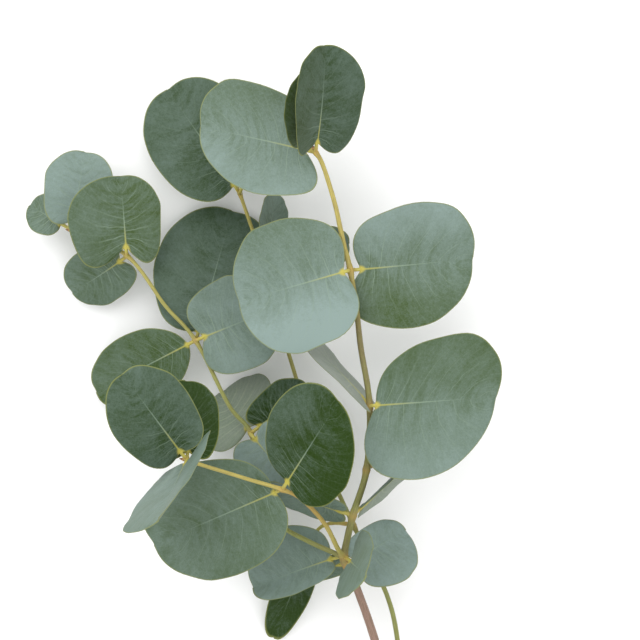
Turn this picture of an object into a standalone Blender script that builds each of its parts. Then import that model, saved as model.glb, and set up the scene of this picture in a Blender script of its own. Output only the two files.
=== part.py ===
"""A cut branch of silver-dollar eucalyptus, lying on a flat surface.

The branch grows along +Y from its cut end, and +Z is up from the surface. One woody
base carries a main stem and a back stem, and two side shoots leave the main stem at
its fork. Every leaf is a thin closed blade on a short petiole. Sizes are millimetres
in this file, and METRE_PER_MM turns them into Blender's metres.
"""

import math

import bpy
from mathutils import Matrix, Vector

METRE_PER_MM = 0.001
UP = Vector((0, 0, 1))

# Room left between pieces that touch on the real branch.
GAP = 0.3

# Leaf blade: a round outline with two basal lobes, on a round petiole.
LEAF_THICKNESS = 0.5
PETIOLE_RADIUS = 0.6
PETIOLE_RINGS = 3
LEAF_COLUMNS = 5
LEAF_ROWS = (0.04, 0.14, 0.28, 0.44, 0.6, 0.76, 0.9, 0.985)
LOBE_DEPTH = 0.2
MIDRIB_SPACING = 1.3
ROW_SWEEP = 1.5
CREASE_WIDTH = 2.0
LEAST_BEND = 1e-6
SHARP_ANGLE = 60

# Buds: a pointed egg, as shares of its length and radius.
BUD_LENGTH = 2.4
BUD_RADIUS = 0.6
BUD_PROFILE = ((0, 0.7), (0.4, 1), (0.75, 0.65), (1, 0.15))

# Stems: radius at the foot and at the tip, and the tubes' fineness.
MAIN_RADII = (1.9, 0.7)
BACK_RADII = (1.15, 0.6)
SIDE_RADII = (0.95, 0.6)
STEM_TAPER = 0.6
STEM_SIDES = 8
STEPS_PER_SPAN = 2

# Where the leaves stand on each stem: the stem passes through each of these points.
FORK = (8, 98.5, 33)
FORK_FOOT = (9, 95.5, 32.4)
MAIN_NODE_1 = (11, 112.5, 36)
MAIN_BUD_NODE = (15.5, 128, 39)
MAIN_NODE_2 = (16.5, 149.5, 42)
MAIN_NODE_3 = (10, 194.5, 47)
MAIN_NODE_4 = (-1.5, 233.5, 48)
FRONT_NODE_1 = (-12.5, 122, 48)
FRONT_NODE_2 = (-43.5, 132, 55)
LEFT_NODE_1 = (-23.5, 139.5, 24)
LEFT_NODE_2 = (-42.5, 171, 19)
LEFT_NODE_3 = (-66, 200, 18)
LEFT_NODE_4 = (-84.5, 208.5, 18)
BACK_NODE_1 = (11.5, 107.5, 14)
BACK_NODE_2 = (-20, 199, 14)
BACK_NODE_3 = (-27.5, 221.5, 14)

MAIN_ROUTE = [
    (29, 0, 2),
    (28.5, 16, 5),
    (27, 32, 9.5),
    (23.5, 52, 17),
    (17.5, 73, 25.5),
    (11.5, 90, 31.2),
    FORK_FOOT,
    FORK,
    MAIN_NODE_1,
    MAIN_BUD_NODE,
    MAIN_NODE_2,
    (13.5, 169, 45),
    (12, 182, 46.5),
    MAIN_NODE_3,
    (7.5, 204.5, 48),
    (5, 216, 48),
    (1, 229, 48),
    MAIN_NODE_4,
]
BACK_ROUTE = [
    (29.4, 34, 8.1),
    (29.5, 45, 10),
    (27.5, 62, 11.5),
    (23.5, 82, 13),
    BACK_NODE_1,
    (0, 133.5, 14),
    (-10.5, 165.5, 14),
    BACK_NODE_2,
    BACK_NODE_3,
]
FRONT_ROUTE = [
    (5.9, 101.5, 35.6),
    (1.5, 110, 38),
    (-6, 118.5, 44.5),
    FRONT_NODE_1,
    (-25, 126, 51),
    FRONT_NODE_2,
]
LEFT_ROUTE = [
    (5.8, 99.2, 32.6),
    (-5, 104, 31),
    (-13, 109, 28.5),
    (-19, 121, 24.5),
    LEFT_NODE_1,
    (-31, 149, 22.5),
    LEFT_NODE_2,
    (-53, 183, 18),
    LEFT_NODE_3,
    LEFT_NODE_4,
]

WOOD_BROWN = (0.33, 0.20, 0.16)
STEM_GREEN = (0.33, 0.31, 0.10)
LEAF_PALE = (0.26, 0.35, 0.30)
LEAF_MID = (0.16, 0.24, 0.18)
LEAF_DARK = (0.08, 0.14, 0.07)
BUD_BROWN = (0.30, 0.12, 0.05)


def clear_scene():
    for obj in list(bpy.data.objects):
        bpy.data.objects.remove(obj, do_unlink=True)


def make_material(name, colour, roughness):
    material = bpy.data.materials.new(name)
    material.use_nodes = True
    shader = material.node_tree.nodes["Principled BSDF"]
    shader.inputs["Base Color"].default_value = (*colour, 1)
    shader.inputs["Roughness"].default_value = roughness
    shader.inputs["Metallic"].default_value = 0
    return material


def make_object(name, rings, material, matrix=None):
    """One closed tube through rings of points, with a flat cap at each end."""
    sides = len(rings[0])
    points = [Vector(point) * METRE_PER_MM for ring in rings for point in ring]
    faces = [tuple(reversed(range(sides)))]
    for row in range(len(rings) - 1):
        start = row * sides
        for side in range(sides):
            after = (side + 1) % sides
            faces.append((start + side, start + after, start + sides + after, start + sides + side))
    last = (len(rings) - 1) * sides
    faces.append(tuple(last + side for side in range(sides)))
    mesh = bpy.data.meshes.new(name)
    mesh.from_pydata(points, [], faces)
    mesh.materials.append(material)
    mesh.shade_smooth()
    mesh.set_sharp_from_angle(angle=math.radians(SHARP_ANGLE))
    obj = bpy.data.objects.new(name, mesh)
    obj.parent = branch
    if matrix is not None:
        obj.matrix_basis = matrix
    bpy.context.scene.collection.objects.link(obj)
    return obj


def smooth_route(points, steps):
    """Points along a Catmull-Rom curve through the given points."""
    knots = [Vector(point) for point in points]
    knots = [2 * knots[0] - knots[1], *knots, 2 * knots[-1] - knots[-2]]
    route = []
    for a, b, c, d in zip(knots, knots[1:], knots[2:], knots[3:]):
        for step in range(steps):
            t = step / steps
            bend = (2 * a - 5 * b + 4 * c - d) * t**2 + (3 * b - a - 3 * c + d) * t**3
            route.append(b + (c - a) * t / 2 + bend / 2)
    route.append(knots[-2])
    return route


def circle_ring(centre, forward, radius, sides):
    """Points round a circle, counted clockwise as seen from ahead, from the upper left."""
    side = forward.cross(UP).normalized()
    top = side.cross(forward).normalized()
    ring = []
    for index in range(sides):
        angle = math.pi - math.pi * (2 * index + 1) / sides
        ring.append(centre + radius * (side * math.cos(angle) + top * math.sin(angle)))
    return ring


def grow_stem(name, points, radii, material):
    """A tapered round stem through the given points. Returns its route and radii."""
    route = smooth_route(points, STEPS_PER_SPAN)
    last = len(route) - 1
    foot, tip = radii
    rings = []
    widths = []
    for index, centre in enumerate(route):
        forward = (route[min(index + 1, last)] - route[max(index - 1, 0)]).normalized()
        radius = foot + (tip - foot) * (index / last) ** STEM_TAPER
        widths.append(radius)
        rings.append(circle_ring(centre, forward, radius, STEM_SIDES))
    make_object(name, rings, material)
    return {"route": route, "radii": widths}


def heading_vector(heading, pitch):
    """Unit vector at an angle from +X towards +Y, raised by pitch. Degrees."""
    turn = math.radians(heading)
    rise = math.radians(pitch)
    level = math.cos(rise)
    return Vector((level * math.cos(turn), level * math.sin(turn), math.sin(rise)))


def blade_point(form, across, along, height):
    """A point of the bent blade. across runs -1 to 1, along 0 to 1, height is off its middle."""
    swing = math.pi * along
    half = form["width"] / 2 * (1 + form["uneven"] * across)
    length = form["length"]
    edge_y = length / 2 * (1 - math.cos(swing))
    if along < 0.5:
        edge_y -= form["lobe"] * length * math.sin(2 * swing)
    middle_y = length * along**MIDRIB_SPACING
    share = abs(across)
    x = half * math.sin(swing) * across
    y = middle_y + (edge_y - middle_y) * share**ROW_SWEEP - form["skew"] * x
    fold = math.radians(form["fold"])
    z = math.sin(fold) * (math.hypot(x, CREASE_WIDTH) - CREASE_WIDTH)
    z += form["wave"] * share**2 * math.sin(math.pi * (3 * along + form["phase"] + across / 2))
    x *= math.cos(fold)
    z += height
    bend = math.radians(form["arch"]) / length
    if abs(bend) < LEAST_BEND:
        return Vector((x, y, z))
    turn = bend * y
    return Vector((x, (1 / bend + z) * math.sin(turn), (1 / bend + z) * math.cos(turn) - 1 / bend))


def blade_rings(form):
    columns = [2 * index / (LEAF_COLUMNS - 1) - 1 for index in range(LEAF_COLUMNS)]
    half = LEAF_THICKNESS / 2
    rings = []
    for along in LEAF_ROWS:
        upper = [blade_point(form, across, along, half) for across in columns]
        lower = [blade_point(form, across, along, -half) for across in reversed(columns)]
        rings.append(upper + lower)
    return rings


def petiole_rings(root, reach):
    """Rings from the petiole's root to the blade's base at the origin, on one bent line."""
    knee = Vector((0, -reach / 2, 0))
    rings = []
    for index in range(PETIOLE_RINGS):
        t = index / PETIOLE_RINGS
        centre = root * (1 - t) ** 2 + 2 * knee * t * (1 - t)
        forward = ((knee - root) * (1 - t) - knee * t).normalized()
        rings.append(circle_ring(centre, forward, PETIOLE_RADIUS, 2 * LEAF_COLUMNS))
    return rings


def grow_leaf(name, stem, node, material, heading, tilt, roll, length, width, petiole=4, rise=25,
              swerve=0, fold=8, arch=10, wave=0.4, phase=0, uneven=0, skew=0, lobe=LOBE_DEPTH):
    """A leaf on its petiole.

    heading is where the blade points, tilt raises its tip and roll lowers its right side.
    The petiole is raised by rise and turned off the blade's heading by swerve. fold lifts
    both halves, arch bends the tip down, wave ruffles the margin and skew sets the right
    side back. Angles are degrees.
    """
    form = {"length": length, "width": width, "fold": fold, "arch": arch, "wave": wave,
            "phase": phase, "uneven": uneven, "skew": skew, "lobe": lobe}
    node = Vector(node)
    index = min(range(len(stem["route"])), key=lambda i: (stem["route"][i] - node).length)
    ahead = stem["route"][min(index + 1, len(stem["route"]) - 1)]
    behind = stem["route"][max(index - 1, 0)]
    along_stem = (ahead - behind).normalized()
    out = heading_vector(heading + swerve, rise)
    slant = abs(out.dot(along_stem))
    clear = stem["radii"][index] + GAP + PETIOLE_RADIUS * slant
    root_reach = min(clear / math.sqrt(1 - slant**2), petiole - 1)
    turn = Matrix.Rotation(math.radians(heading - 90), 4, "Z")
    turn = turn @ Matrix.Rotation(math.radians(tilt), 4, "X")
    turn = turn @ Matrix.Rotation(math.radians(roll), 4, "Y")
    base = node + petiole * out
    place = Matrix.Translation(base * METRE_PER_MM) @ turn
    root = turn.to_3x3().transposed() @ (node + root_reach * out - base)
    rings = petiole_rings(root, petiole - root_reach) + blade_rings(form)
    return make_object(name, rings, material, place)


def grow_bud(name, node, reach, heading, rise):
    """A small pointed bud that starts at reach from a stem's node."""
    forward = heading_vector(heading, rise)
    rings = []
    for share, swell in BUD_PROFILE:
        centre = Vector(node) + forward * (reach + BUD_LENGTH * share)
        radius = BUD_RADIUS * swell
        rings.append(circle_ring(centre, forward, radius, STEM_SIDES))
    make_object(name, rings, bud_brown)


clear_scene()
branch = bpy.data.objects.new("branch_frame", None)
bpy.context.scene.collection.objects.link(branch)

wood = make_material("woody_stem", WOOD_BROWN, 0.7)
green = make_material("green_stem", STEM_GREEN, 0.5)
pale = make_material("pale_leaf", LEAF_PALE, 0.6)
mid = make_material("mid_leaf", LEAF_MID, 0.6)
dark = make_material("dark_leaf", LEAF_DARK, 0.5)
bud_brown = make_material("bud", BUD_BROWN, 0.6)

# Main stem: the woody base, the fork and four pairs of leaves, the last one at the tip.
main = grow_stem("main_stem", MAIN_ROUTE, MAIN_RADII, wood)
grow_leaf("leaf_main_1_left", main, MAIN_NODE_1, mid, heading=162, tilt=-5, roll=-50, length=28,
          width=14, petiole=5, rise=0, arch=0)
grow_leaf("leaf_main_1_right", main, MAIN_NODE_1, mid, heading=43, tilt=-15, roll=80, length=34,
          width=30, petiole=6, rise=-20, arch=0)
grow_leaf("leaf_main_2_left", main, MAIN_NODE_2, mid, heading=133, tilt=-15, roll=78, length=36,
          width=26, petiole=3.5, rise=-10, fold=0, arch=0, lobe=0.3)
grow_leaf("leaf_main_2_right", main, MAIN_NODE_2, mid, heading=4, tilt=0, roll=0, length=41.5,
          width=48, petiole=3, rise=45, uneven=0.08, skew=0.34, lobe=0.09)
grow_leaf("leaf_main_3_left", main, MAIN_NODE_3, pale, heading=196, tilt=0, roll=0, length=37,
          width=45, petiole=3.5, rise=45, lobe=0.15)
grow_leaf("leaf_main_3_right", main, MAIN_NODE_3, pale, heading=5, tilt=0, roll=7, length=38.5,
          width=42, petiole=4.5, rise=-35, skew=0.16, lobe=0.18)
grow_leaf("leaf_main_4_left", main, MAIN_NODE_4, pale, heading=166, tilt=-8, roll=8, length=38,
          width=37, petiole=5, rise=-45, skew=-0.3)
grow_leaf("leaf_main_4_right", main, MAIN_NODE_4, dark, heading=81, tilt=30, roll=50, length=35,
          width=34, petiole=4, rise=40, fold=15, skew=0.2, lobe=0.2)
grow_leaf("leaf_main_4_back", main, MAIN_NODE_4, mid, heading=84, tilt=30, roll=45, length=27,
          width=26, petiole=4, rise=-5, swerve=35, fold=5, lobe=0.1)
grow_bud("bud_main_side", MAIN_BUD_NODE, 1.9, heading=35, rise=10)
grow_bud("bud_main_tip", MAIN_NODE_4, GAP, heading=115, rise=15)

# Leaves round the fork.
grow_leaf("leaf_fork_front", main, FORK, mid, heading=335, tilt=82, roll=0, length=24, width=24,
          petiole=6, rise=65)
grow_leaf("leaf_fork_left", main, FORK, mid, heading=199, tilt=-8, roll=25, length=30, width=26,
          petiole=7, rise=-50, fold=25, uneven=0.25, lobe=0.1)
grow_leaf("leaf_fork_right", main, FORK_FOOT, pale, heading=30, tilt=-15, roll=-15, length=21,
          width=23, petiole=4, rise=-20, uneven=0.3)
grow_leaf("leaf_fork_back", main, FORK_FOOT, mid, heading=193, tilt=-18, roll=-10, length=31,
          width=9, petiole=8, rise=-70, fold=0)

# Front shoot.
front = grow_stem("front_shoot", FRONT_ROUTE, SIDE_RADII, green)
grow_leaf("leaf_front_1_low", front, FRONT_NODE_1, mid, heading=204, tilt=-10, roll=0,
          length=47.5, width=41, petiole=3, rise=-30, skew=-0.12, lobe=0.06)
grow_leaf("leaf_front_1_high", front, FRONT_NODE_1, dark, heading=58, tilt=25, roll=0, length=35,
          width=35, petiole=4, rise=40, fold=15, skew=0.38, lobe=0.05)
grow_leaf("leaf_front_2_left", front, FRONT_NODE_2, dark, heading=126, tilt=15, roll=0, length=33,
          width=28, petiole=4, rise=25, lobe=0.12)
grow_leaf("leaf_front_2_back", front, FRONT_NODE_2, dark, heading=92, tilt=-20, roll=10,
          length=26, width=22, petiole=4, rise=-45, fold=0)
grow_leaf("leaf_front_2_low", front, FRONT_NODE_2, pale, heading=246, tilt=50, roll=72, length=29,
          width=47, petiole=4.5, rise=80, arch=0)
grow_bud("bud_front_tip", FRONT_NODE_2, GAP, heading=165, rise=5)

# Left shoot.
left = grow_stem("left_shoot", LEFT_ROUTE, SIDE_RADII, green)
grow_leaf("leaf_left_1_left", left, LEFT_NODE_1, mid, heading=130, tilt=-40, roll=0, length=22,
          width=32, rise=-60, fold=0)
grow_leaf("leaf_left_1_right", left, LEFT_NODE_1, pale, heading=310, tilt=8, roll=0, length=22,
          width=24, rise=55)
grow_leaf("leaf_left_1_back", left, LEFT_NODE_1, dark, heading=38, tilt=-5, roll=0, length=22,
          width=18, rise=10)
grow_leaf("leaf_left_2_back", left, LEFT_NODE_2, dark, heading=75, tilt=-10, roll=0, length=46,
          width=42, petiole=5, rise=-50, fold=0, lobe=0.08)
grow_leaf("leaf_left_2_left", left, LEFT_NODE_2, mid, heading=207, tilt=-15, roll=0, length=40,
          width=26, petiole=3, rise=-20, fold=0, lobe=-0.02)
grow_leaf("leaf_left_2_front", left, LEFT_NODE_2, pale, heading=22, tilt=0, roll=0, length=26,
          width=33, rise=35)
grow_leaf("leaf_left_3_up", left, LEFT_NODE_3, pale, heading=93, tilt=12, roll=10, length=25,
          width=32, petiole=4, rise=45, uneven=-0.2, lobe=0.35)
grow_leaf("leaf_left_3_low", left, LEFT_NODE_3, mid, heading=214, tilt=-15, roll=-20, length=22,
          width=22, petiole=5, rise=-50, fold=0)
grow_leaf("leaf_left_4_up", left, LEFT_NODE_4, pale, heading=82, tilt=-5, roll=0, length=24.5,
          width=24, rise=10)
grow_leaf("leaf_left_4_left", left, LEFT_NODE_4, mid, heading=150, tilt=-15, roll=0, length=14,
          width=14, petiole=7, rise=-40, fold=0, lobe=0.1)
grow_bud("bud_left_tip", LEFT_NODE_4, GAP, heading=170, rise=20)

# Back stem.
back = grow_stem("back_stem", BACK_ROUTE, BACK_RADII, green)
grow_leaf("leaf_back_1_low", back, BACK_NODE_1, dark, heading=249, tilt=-12, roll=0, length=42,
          width=13.5, petiole=14, rise=0, swerve=-54, skew=-0.2, lobe=0.05)
grow_leaf("leaf_back_2_up", back, BACK_NODE_2, mid, heading=75, tilt=0, roll=60,
          length=20, width=18)
grow_leaf("leaf_back_2_right", back, BACK_NODE_2, mid, heading=8, tilt=-5, roll=30,
          length=27, width=20, petiole=5, lobe=0.1)
grow_leaf("leaf_back_3_left", back, BACK_NODE_3, dark, heading=125, tilt=-8, roll=0, length=43,
          width=37, rise=30, lobe=0.1)
grow_leaf("leaf_back_3_right", back, BACK_NODE_3, mid, heading=65, tilt=12, roll=0,
          length=21, width=20, petiole=5, rise=60, lobe=0.1)
grow_bud("bud_back_tip", BACK_NODE_3, GAP, heading=110, rise=-10)

# The origin is the middle of the branch's footprint, on the surface it lies on.
bpy.context.view_layer.update()
corners = [
    obj.matrix_world @ vertex.co
    for obj in branch.children
    for vertex in obj.data.vertices
]
lowest = Vector([min(corner[axis] for corner in corners) for axis in range(3)])
highest = Vector([max(corner[axis] for corner in corners) for axis in range(3)])
branch.location = -Vector(((lowest.x + highest.x) / 2, (lowest.y + highest.y) / 2, lowest.z))
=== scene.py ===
"""A cut branch of silver-dollar eucalyptus lying on a pale table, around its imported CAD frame.

Lengths are millimetres, and MM turns them into Blender's metres. Routes and leaf places are
given in the branch's own plan, where the cut end is near Y = 0 and the branch grows along +Y.
"""

import math

import bpy
from mathutils import Matrix, Vector, noise


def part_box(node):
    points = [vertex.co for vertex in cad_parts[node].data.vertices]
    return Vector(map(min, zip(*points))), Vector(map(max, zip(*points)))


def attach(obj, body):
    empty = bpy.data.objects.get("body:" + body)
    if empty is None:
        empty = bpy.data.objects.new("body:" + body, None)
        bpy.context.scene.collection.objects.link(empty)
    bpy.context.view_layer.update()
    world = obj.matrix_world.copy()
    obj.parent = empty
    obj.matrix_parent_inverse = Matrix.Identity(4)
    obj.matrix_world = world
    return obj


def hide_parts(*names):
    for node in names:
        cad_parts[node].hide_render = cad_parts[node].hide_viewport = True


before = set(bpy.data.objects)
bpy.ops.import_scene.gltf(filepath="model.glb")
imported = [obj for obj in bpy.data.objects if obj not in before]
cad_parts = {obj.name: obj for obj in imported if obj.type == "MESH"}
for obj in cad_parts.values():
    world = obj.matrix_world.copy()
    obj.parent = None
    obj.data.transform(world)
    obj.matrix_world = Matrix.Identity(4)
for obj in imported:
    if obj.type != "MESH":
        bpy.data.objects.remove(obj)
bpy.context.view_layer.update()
MM = 0.001

for leftover in ("Cube", "Light", "Camera"):
    if leftover in bpy.data.objects:
        bpy.data.objects.remove(bpy.data.objects[leftover], do_unlink=True)


# ---- Main stem ------------------------------------------------------------------------------
# A round twig, cut across at its foot. The foot is woody, with a thin pinkish-brown bark, and
# from the fork up it is still green, ripening to yellow. It swells wherever leaves leave it.

MAIN_RADII = (1.9, 0.7)
STEM_TAPER = 0.6
STEM_SIDES = 20
STEPS_PER_SPAN = 12
NODE_SWELL = 0.34
NODE_SWELL_REACH = 1.5
STEM_WOBBLE = 0.05
WOBBLE_PER_MM = 0.45
TIP_DOME = 0.6
CUT_RINGS = (0.25, 0.5, 0.75, 0.93)
SHARP_ANGLE = math.radians(75)

FORK = (8, 98.5, 33)
FORK_FOOT = (9, 95.5, 32.4)
MAIN_NODE_1 = (11, 112.5, 36)
MAIN_BUD_NODE = (15.5, 128, 39)
MAIN_NODE_2 = (16.5, 149.5, 42)
MAIN_NODE_3 = (10, 194.5, 47)
MAIN_NODE_4 = (-1.5, 233.5, 48)
MAIN_ROUTE = [
    (29, 0, 2),
    (28.5, 16, 5),
    (27, 32, 9.5),
    (23.5, 52, 17),
    (17.5, 73, 25.5),
    (11.5, 90, 31.2),
    FORK_FOOT,
    FORK,
    MAIN_NODE_1,
    MAIN_BUD_NODE,
    MAIN_NODE_2,
    (13.5, 169, 45),
    (12, 182, 46.5),
    MAIN_NODE_3,
    (7.5, 204.5, 48),
    (5, 216, 48),
    (1, 229, 48),
    MAIN_NODE_4,
]
MAIN_NODES = (FORK_FOOT, FORK, MAIN_NODE_1, MAIN_BUD_NODE, MAIN_NODE_2, MAIN_NODE_3, MAIN_NODE_4)

BARK_PINK = (0.27, 0.17, 0.13)
BARK_GREY = (0.20, 0.15, 0.11)
BARK_OLIVE = (0.17, 0.15, 0.055)
BARK_GREEN = (0.24, 0.26, 0.075)
BARK_YELLOW = (0.44, 0.37, 0.095)
BARK_AMBER = (0.42, 0.25, 0.06)
WOOD_PALE = (0.55, 0.47, 0.27)
WOOD_RING = (0.40, 0.30, 0.15)
PITH = (0.30, 0.21, 0.10)

STREAK_STRETCH = 0.07
SPOT_STRETCH = 0.3
STREAK_SHADE = 0.6
NODE_FLUSH = 0.45
SPOT_SHADE = 0.5
BARK_GLOSS = 0.35
RINGS_IN_WOOD = 7.3


def smooth_route(points, steps):
    """Points along a Catmull-Rom curve through the given points."""
    knots = [Vector(point) for point in points]
    knots = [2 * knots[0] - knots[1], *knots, 2 * knots[-1] - knots[-2]]
    route = []
    for a, b, c, d in zip(knots, knots[1:], knots[2:], knots[3:]):
        for step in range(steps):
            t = step / steps
            bend = (2 * a - 5 * b + 4 * c - d) * t**2 + (3 * b - a - 3 * c + d) * t**3
            route.append(b + (c - a) * t / 2 + bend / 2)
    route.append(knots[-2])
    return route


def circle_ring(centre, forward, radius, sides):
    """Points round a circle, counted clockwise as seen from ahead, from the left."""
    side = forward.cross(Vector((0, 0, 1))).normalized()
    top = side.cross(forward).normalized()
    ring = []
    for index in range(sides):
        angle = math.pi - 2 * math.pi * index / sides
        ring.append(centre + radius * (side * math.cos(angle) + top * math.sin(angle)))
    return ring


def make_piece(name, points, faces, materials, face_materials, marks):
    """A smooth mesh in the row frame. marks holds one vector for each point, by name."""
    mesh = bpy.data.meshes.new(name)
    mesh.from_pydata([(point + branch_place) * MM for point in points], [], faces)
    for material in materials:
        mesh.materials.append(material)
    mesh.polygons.foreach_set("material_index", face_materials)
    mesh.shade_smooth()
    mesh.set_sharp_from_angle(angle=SHARP_ANGLE)
    for mark, values in marks.items():
        layer = mesh.attributes.new(mark, "FLOAT_VECTOR", "POINT")
        layer.data.foreach_set("vector", [number for value in values for number in value])
    piece = bpy.data.objects.new(name, mesh)
    bpy.context.scene.collection.objects.link(piece)
    return piece


def join_rings(rings):
    """Faces of a tube through equal rings, whose points follow each other in order."""
    sides = len(rings[0])
    faces = []
    for row in range(len(rings) - 1):
        start = row * sides
        for side in range(sides):
            after = (side + 1) % sides
            faces.append((start + side, start + after, start + sides + after, start + sides + side))
    return faces


def stem_rings(points, radii, nodes):
    """Rings, and for each point its marks, of a tapered stem that swells at its nodes."""
    route = smooth_route(points, STEPS_PER_SPAN)
    last = len(route) - 1
    foot, tip = radii
    rings = []
    places = []
    growths = []
    run = 0
    for index, centre in enumerate(route):
        forward = (route[min(index + 1, last)] - route[max(index - 1, 0)]).normalized()
        run += (centre - route[max(index - 1, 0)]).length
        grown = index / last
        gaps = [(centre - Vector(node)).length / NODE_SWELL_REACH for node in nodes]
        near = math.exp(-(min(gaps) ** 2))
        radius = foot + (tip - foot) * grown**STEM_TAPER + NODE_SWELL * near
        ring = circle_ring(centre, forward, radius, STEM_SIDES)
        for side, point in enumerate(ring):
            angle = 2 * math.pi * side / STEM_SIDES
            bump = STEM_WOBBLE * noise.noise(point * WOBBLE_PER_MM)
            ring[side] = point + (point - centre).normalized() * bump
            places.append((math.cos(angle), math.sin(angle), run))
            growths.append((grown, near, 1))
        rings.append(ring)
    return rings, places, growths


def close_with_cut(rings, places, growths, faces):
    """Adds the sawn face at the foot: rings of points that narrow to the pith."""
    foot = rings[0]
    middle = sum(foot, Vector()) / len(foot)
    points = [point for ring in rings for point in ring]
    outer = list(range(STEM_SIDES))
    for share in reversed(CUT_RINGS):
        inner = list(range(len(points), len(points) + STEM_SIDES))
        for side, point in enumerate(foot):
            points.append(middle + (point - middle) * share)
            places.append(places[side])
            growths.append((0, 0, share))
        for side in range(STEM_SIDES):
            after = (side + 1) % STEM_SIDES
            faces.append((outer[after], outer[side], inner[side], inner[after]))
        outer = inner
    points.append(middle)
    places.append((0, 0, 0))
    growths.append((0, 0, 0))
    for side in range(STEM_SIDES):
        after = (side + 1) % STEM_SIDES
        faces.append((outer[after], outer[side], len(points) - 1))
    return points


def close_with_tip(rings, points, places, growths, faces):
    """Adds a short dome over the last ring."""
    last = len(rings) - 1
    ring = rings[last]
    middle = sum(ring, Vector()) / len(ring)
    before = sum(rings[last - 1], Vector()) / len(ring)
    height = TIP_DOME * (ring[0] - middle).length
    points.append(middle + (middle - before).normalized() * height)
    places.append((0, 0, places[last * STEM_SIDES][2]))
    growths.append((1, 0, 1))
    start = last * STEM_SIDES
    for side in range(STEM_SIDES):
        after = (side + 1) % STEM_SIDES
        faces.append((start + side, start + after, len(points) - 1))


def grow_stem(name, node, points, radii, nodes, materials):
    """A stem that stands for a CAD node, cut across at its foot and domed at its tip."""
    rings, places, growths = stem_rings(points, radii, nodes)
    faces = join_rings(rings)
    wall = len(faces)
    all_points = close_with_cut(rings, places, growths, faces)
    cut = len(faces)
    close_with_tip(rings, all_points, places, growths, faces)
    kinds = [0] * wall + [1] * (cut - wall) + [0] * (len(faces) - cut)
    marks = {"stem_place": places, "stem_growth": growths}
    piece = make_piece(name, all_points, faces, materials, kinds, marks)
    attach(piece, "root")
    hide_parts(node)
    return piece


def add_node(tree, kind, inputs=None, **settings):
    """Adds one shader node. An input is a socket to link or a value to set."""
    node = tree.nodes.new("ShaderNode" + kind)
    for key, value in settings.items():
        setattr(node, key, value)
    for key, value in (inputs or {}).items():
        if isinstance(value, bpy.types.NodeSocket):
            tree.links.new(value, node.inputs[key])
        else:
            node.inputs[key].default_value = value
    return node


def calculate(tree, operation, *values):
    """One step of arithmetic on masks."""
    return add_node(tree, "Math", dict(enumerate(values)), operation=operation).outputs[0]


def ramp_down(tree, value, full, none):
    """1 up to full, falling smoothly to 0 at none, which may lie on either side."""
    inputs = {"Value": value, "From Min": full, "From Max": none, "To Min": 1, "To Max": 0}
    return add_node(tree, "MapRange", inputs, interpolation_type="SMOOTHSTEP").outputs[0]


def mix_colours(tree, share, first, second):
    """first where share is 0, second where it is 1. The Mix node's colours are sockets 6 and 7."""
    inputs = {0: share, 6: first, 7: second}
    return add_node(tree, "Mix", inputs, data_type="RGBA").outputs[2]


def paint(colour):
    """A colour with the fourth number that a socket wants."""
    return (*colour, 1)


def split(tree, vector):
    """The three numbers of a vector."""
    parts = add_node(tree, "SeparateXYZ", {"Vector": vector}).outputs
    return parts["X"], parts["Y"], parts["Z"]


def mark_of(tree, name):
    """A mark that make_piece stored on the mesh."""
    return add_node(tree, "Attribute", attribute_name=name).outputs["Vector"]


def noise_of(tree, vector, scale, detail=3, roughness=0.5):
    inputs = {"Vector": vector, "Scale": scale, "Detail": detail, "Roughness": roughness}
    return add_node(tree, "TexNoise", inputs).outputs["Fac"]


def new_effect(name, inputs, outputs):
    """An empty node group with named sockets, and its input and output nodes."""
    group = bpy.data.node_groups.new(name, "ShaderNodeTree")
    for socket, (kind, default) in inputs.items():
        made = group.interface.new_socket(socket, in_out="INPUT", socket_type="NodeSocket" + kind)
        if default is not None:
            made.default_value = default
    for socket, kind in outputs.items():
        group.interface.new_socket(socket, in_out="OUTPUT", socket_type="NodeSocket" + kind)
    return group, group.nodes.new("NodeGroupInput").outputs, group.nodes.new("NodeGroupOutput")


def new_material(name):
    """A material, its node tree and its shader."""
    material = bpy.data.materials.new(name)
    material.use_nodes = True
    return material, material.node_tree, material.node_tree.nodes["Principled BSDF"]


def bump_from(tree, height, strength, depth):
    """A normal for relief of the given depth."""
    inputs = {"Height": height, "Strength": strength, "Distance": depth * MM}
    return add_node(tree, "Bump", inputs).outputs["Normal"]


def make_bark_grain():
    """Fine streaks along the stem and small corky spots."""
    inputs = {"Place": ("Vector", None), "Streak Scale": ("Float", 3.0)}
    outputs = {"Streaks": "Float", "Patches": "Float", "Spots": "Float", "Height": "Float"}
    tree, given, result = new_effect("bark_grain", inputs, outputs)
    drawn_out = {"Vector": given["Place"], "Scale": (1, 1, STREAK_STRETCH)}
    long_place = add_node(tree, "Mapping", drawn_out).outputs[0]
    streaks = noise_of(tree, long_place, given["Streak Scale"], 5, 0.65)
    drawn_out = {"Vector": given["Place"], "Scale": (1, 1, SPOT_STRETCH)}
    spot_place = add_node(tree, "Mapping", drawn_out).outputs[0]
    patches = noise_of(tree, spot_place, 0.55, 3)
    dots = add_node(tree, "TexVoronoi", {"Vector": spot_place, "Scale": 1.9}).outputs["Distance"]
    spots = ramp_down(tree, dots, 0.10, 0.2)
    height = calculate(tree, "ADD", streaks, calculate(tree, "MULTIPLY", spots, 0.6))
    tree.links.new(streaks, result.inputs["Streaks"])
    tree.links.new(patches, result.inputs["Patches"])
    tree.links.new(spots, result.inputs["Spots"])
    tree.links.new(height, result.inputs["Height"])
    return tree


bark_grain = make_bark_grain()


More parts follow.
